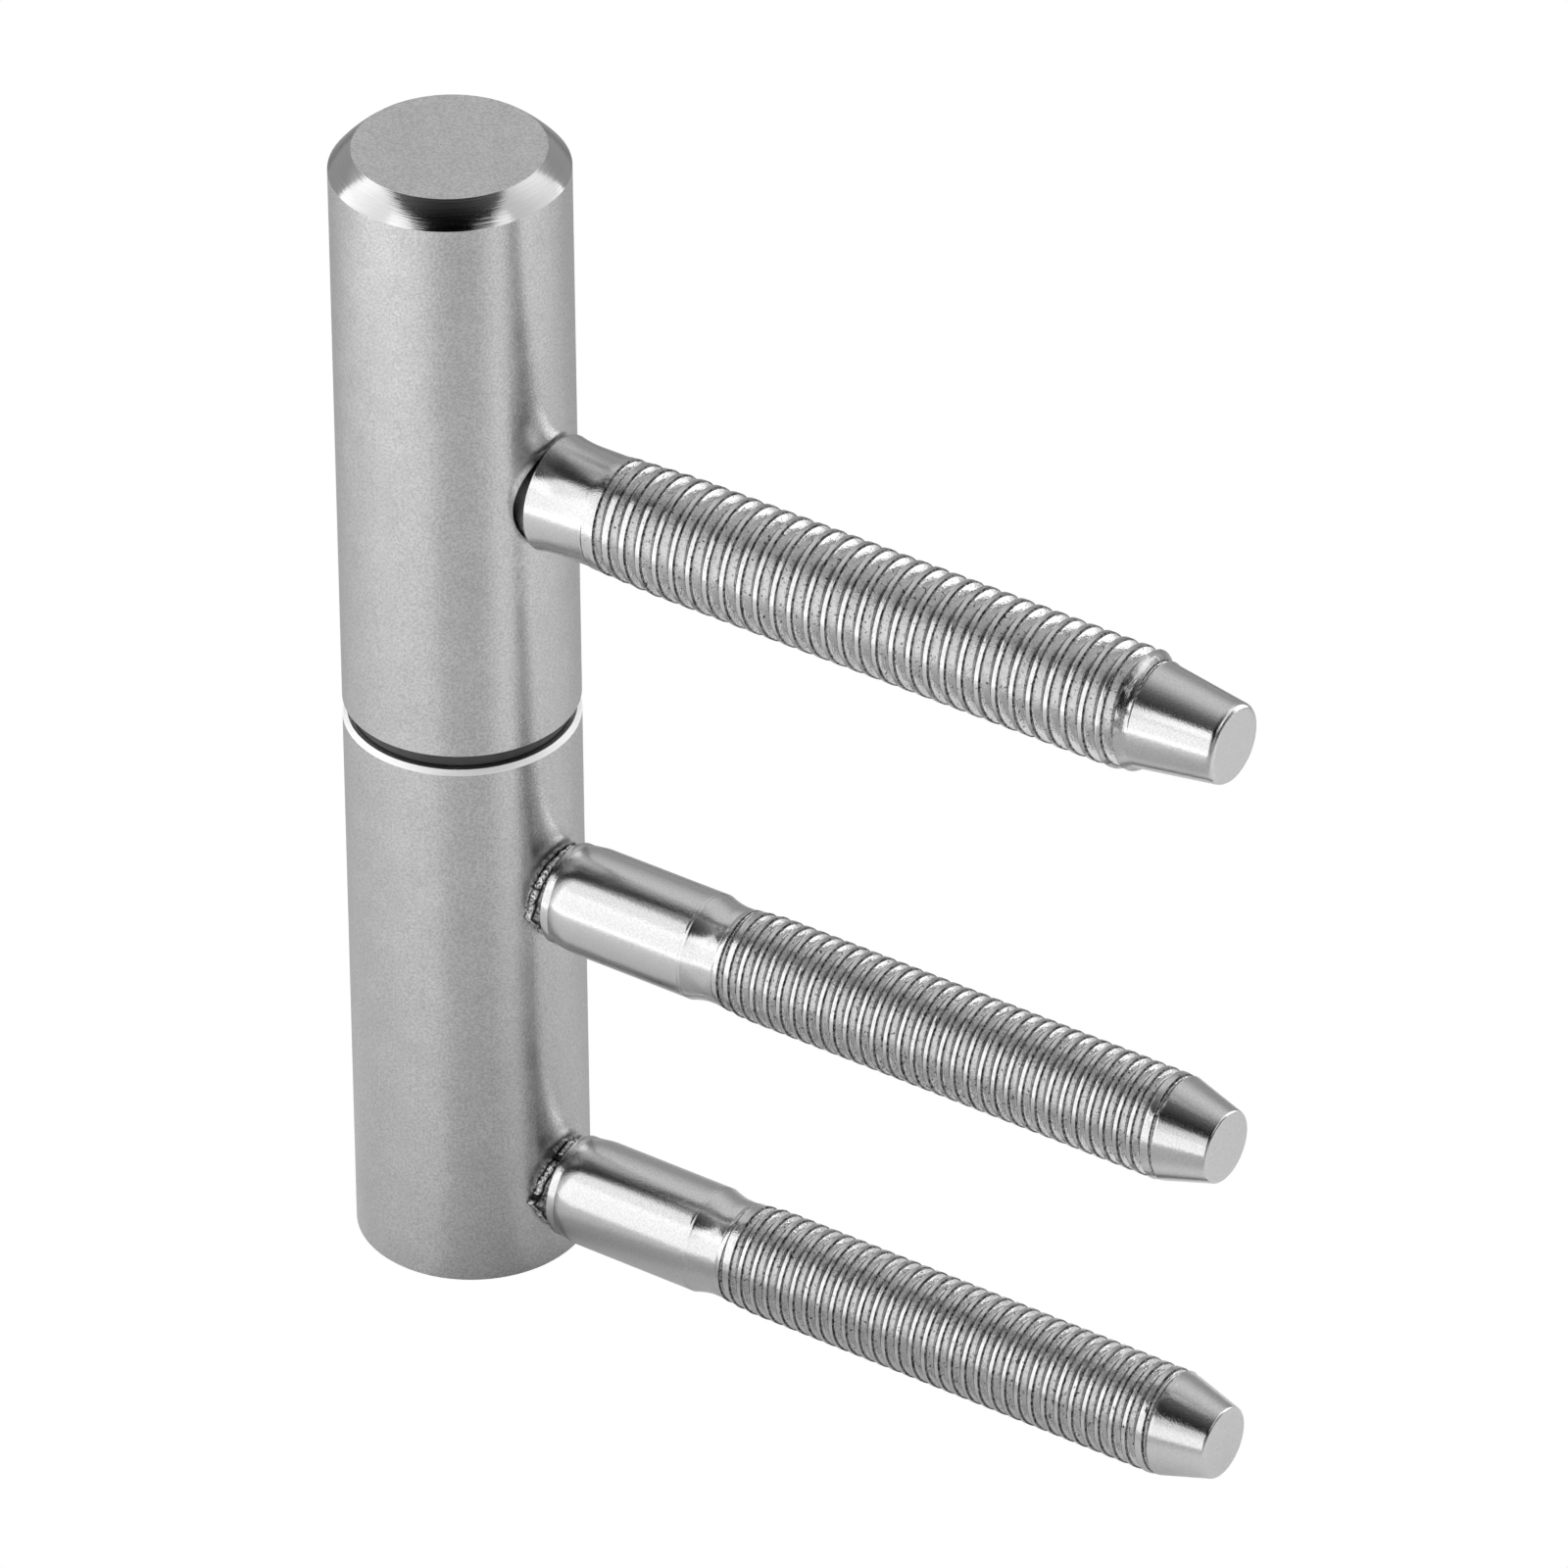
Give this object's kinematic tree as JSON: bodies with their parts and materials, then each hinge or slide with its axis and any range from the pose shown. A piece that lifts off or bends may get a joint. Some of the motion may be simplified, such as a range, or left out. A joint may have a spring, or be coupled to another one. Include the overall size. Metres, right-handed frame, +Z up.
{
  "type": "drill-in hinge",
  "caption": "Lift-off drill-in door hinge: leaf knuckle with a threaded arm, turning and lifting off a pin in a frame knuckle with a pair of threaded arms.",
  "frame": {"origin": "on the hinge axis, at the top face of the frame barrel, where the two parts of the hinge meet", "axes": "+Z up along the hinge axis from the frame part to the leaf part, +X along the arms towards their tips, +Y to complete a right-handed frame"},
  "size_m": [0.065, 0.015, 0.08],
  "materials": {
    "plated_barrel": "satin plated",
    "plated_arm": "bright plated",
    "pin_steel": "ground",
    "bush_polymer": "matte",
    "ring_polymer": "matte"
  },
  "bodies": {
    "frame_part": {"lower_barrel": "plated_barrel", "hinge_pin": "pin_steel", "middle_arm": "plated_arm", "lower_arm": "plated_arm"},
    "ring": {"thrust_ring": "ring_polymer"},
    "leaf_part": {"upper_barrel": "plated_barrel", "bearing_bush": "bush_polymer", "upper_arm": "plated_arm"}
  },
  "joints": [
    {"name": "swing", "type": "hinge", "parent": "frame_part", "child": "ring", "pos_m": [0, 0, 0], "axis": [0, 0, 1], "continuous": true},
    {"name": "lift_off", "type": "slide", "parent": "ring", "child": "leaf_part", "axis": [0, 0, 1], "range_m": [0, 0.03]}
  ]
}
